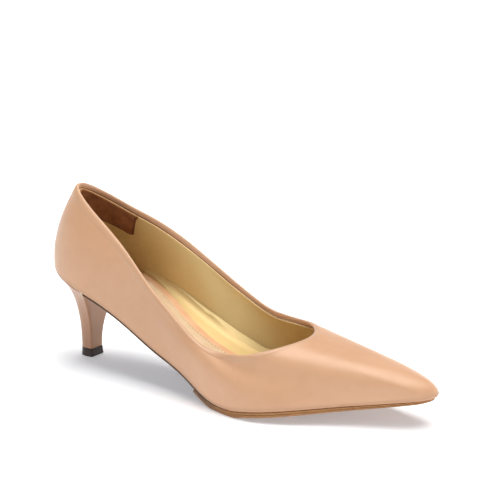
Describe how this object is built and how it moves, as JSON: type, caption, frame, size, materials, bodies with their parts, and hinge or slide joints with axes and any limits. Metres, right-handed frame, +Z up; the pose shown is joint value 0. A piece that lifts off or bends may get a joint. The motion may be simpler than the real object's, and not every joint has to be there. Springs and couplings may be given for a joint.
{
  "type": "high heel pump",
  "caption": "Pointed-toe kitten-heel pump: lasted leather upper with lining, insole board and steel shank, thin outsole, and a leather-covered curved heel with a top lift.",
  "frame": {"origin": "centre of the bounding box's bottom face, on the ground that the shoe stands on", "axes": "+X from the heel to the toe, +Y to the inner side of the foot, +Z up"},
  "size_m": [0.243, 0.0762, 0.1043],
  "materials": {
    "upper_leather": "smooth calf leather with a light satin finish",
    "gold_lining": "mustard gold coated lining, faintly mottled",
    "brown_suede": "napped brown suede",
    "peach_sock": "soft peach lining leather",
    "cream_panel": "cream dotted weave",
    "sole_edge": "dark brown dyed sole edge",
    "tread_sheet": "tan brown tread sheet, fine grain",
    "lift_rubber": "dark hard heel tip",
    "fibre_board": "pressed fibre board",
    "stiffener_sheet": "off-white thermoplastic stiffener",
    "interlining_cloth": "woven cotton interlining",
    "latex_foam": "latex foam sheet",
    "cork_filler": "granulated cork",
    "heel_plastic": "moulded heel plastic",
    "spring_steel": "zinc-plated steel"
  },
  "bodies": {
    "root": {"forepart_filler": "cork_filler", "forepart_tread": "tread_sheet", "heel_core": "heel_plastic", "heel_counter": "stiffener_sheet", "heel_cover": "upper_leather", "heel_dowel": "spring_steel", "heel_grip": "brown_suede", "heel_nail_1": "spring_steel", "heel_nail_2": "spring_steel", "heel_nail_3": "spring_steel", "heel_nail_4": "spring_steel", "heel_screw": "spring_steel", "insole_board": "fibre_board", "outsole": "sole_edge", "shank_rivet_front": "spring_steel", "shank_rivet_rear": "spring_steel", "sock_foam": "latex_foam", "sock_lining": "peach_sock", "sock_panel": "cream_panel", "steel_shank": "spring_steel", "toe_puff": "stiffener_sheet", "top_lift": "lift_rubber", "top_lift_pin": "spring_steel", "upper_leather": "upper_leather", "upper_lining": "gold_lining", "vamp_interlining": "interlining_cloth"}
  },
  "joints": []
}
